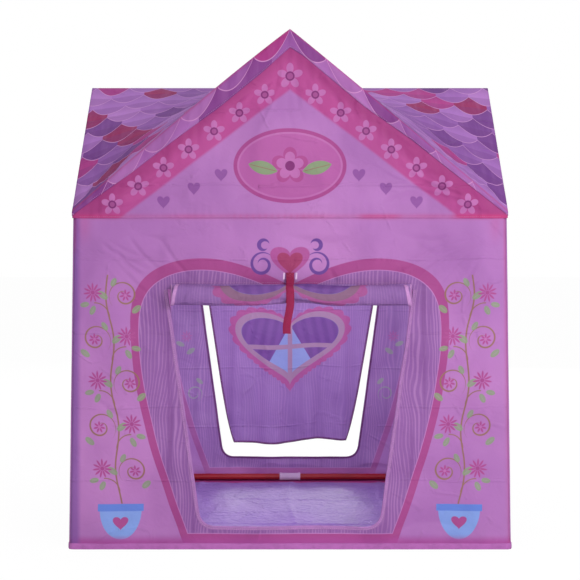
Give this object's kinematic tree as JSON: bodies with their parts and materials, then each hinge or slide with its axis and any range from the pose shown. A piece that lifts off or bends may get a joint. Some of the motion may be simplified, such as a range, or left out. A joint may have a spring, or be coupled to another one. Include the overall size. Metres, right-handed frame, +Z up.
{
  "type": "kids play tent",
  "caption": "Cottage-shaped play tent: push-fit plastic tube frame, sewn cloth cover with a cross-gabled roof, a rolled-up front door cloth and a hanging rear one.",
  "frame": {"origin": "on the ground, in the middle of the whole tent", "axes": "+Z up, the front doorway faces -Y, +X to the right seen from the front"},
  "size_m": [0.961, 0.755, 1.114],
  "materials": {
    "tube": "extruded red polypropylene tube, half gloss",
    "connector": "moulded off-white polypropylene",
    "wall_cloth": "thin plain-weave polyester printed lilac, with a pink verge and a wood-look door",
    "roof_cloth": "thin plain-weave polyester printed with round-ended shingles in purple, lilac and pink",
    "floor_cloth": "coated lilac polyester, creased",
    "door_cloth": "thin polyester printed with purple wood grain",
    "strap": "red woven tape"
  },
  "bodies": {
    "cabin": {"floor_sheet": "floor_cloth", "front_base_rail_connector": "connector", "front_base_rail_left": "tube", "front_base_rail_right": "tube", "front_eave_rail_connector": "connector", "front_eave_rail_left": "tube", "front_eave_rail_right": "tube", "front_gable": "wall_cloth", "front_left_base_connector": "connector", "front_left_eave_connector": "connector", "front_left_gable_rafter": "tube", "front_left_post": "tube", "front_left_ridge_rafter": "tube", "front_peak_connector": "connector", "front_right_base_connector": "connector", "front_right_eave_connector": "connector", "front_right_gable_rafter": "tube", "front_right_post": "tube", "front_right_ridge_rafter": "tube", "front_wall": "wall_cloth", "gable_roof": "roof_cloth", "left_base_rail": "tube", "left_eave_rail": "tube", "left_gable": "wall_cloth", "left_ridge_connector": "connector", "left_wall": "wall_cloth", "left_wing_roof": "roof_cloth", "peak_rail": "tube", "rear_base_rail_connector": "connector", "rear_base_rail_left": "tube", "rear_base_rail_right": "tube", "rear_eave_rail_connector": "connector", "rear_eave_rail_left": "tube", "rear_eave_rail_right": "tube", "rear_gable": "wall_cloth", "rear_left_base_connector": "connector", "rear_left_eave_connector": "connector", "rear_left_gable_rafter": "tube", "rear_left_post": "tube", "rear_left_ridge_rafter": "tube", "rear_peak_connector": "connector", "rear_right_base_connector": "connector", "rear_right_eave_connector": "connector", "rear_right_gable_rafter": "tube", "rear_right_post": "tube", "rear_right_ridge_rafter": "tube", "rear_wall": "wall_cloth", "ridge_rail_connector": "connector", "ridge_rail_left": "tube", "ridge_rail_right": "tube", "right_base_rail": "tube", "right_eave_rail": "tube", "right_gable": "wall_cloth", "right_ridge_connector": "connector", "right_wall": "wall_cloth", "right_wing_roof": "roof_cloth"},
    "front_door": {"front_door_roll": "door_cloth", "tie_strap": "strap"},
    "strap_tail": {"tie_strap_tail": "strap"},
    "rear_door": {"rear_door_flap": "door_cloth"}
  },
  "joints": [
    {"name": "front_door_swing", "type": "hinge", "parent": "cabin", "child": "front_door", "pos_m": [0, -0.34399, 0.579], "axis": [-1, 0, 0], "range_deg": [0, 75]},
    {"name": "strap_tail_swing", "type": "hinge", "parent": "front_door", "child": "strap_tail", "pos_m": [0, -0.37482, 0.55234], "axis": [-1, 0, 0], "range_deg": [0, 100]},
    {"name": "rear_door_swing", "type": "hinge", "parent": "cabin", "child": "rear_door", "pos_m": [0, 0.37691, 0.5552], "axis": [1, 0, 0], "range_deg": [-70, 70]}
  ]
}
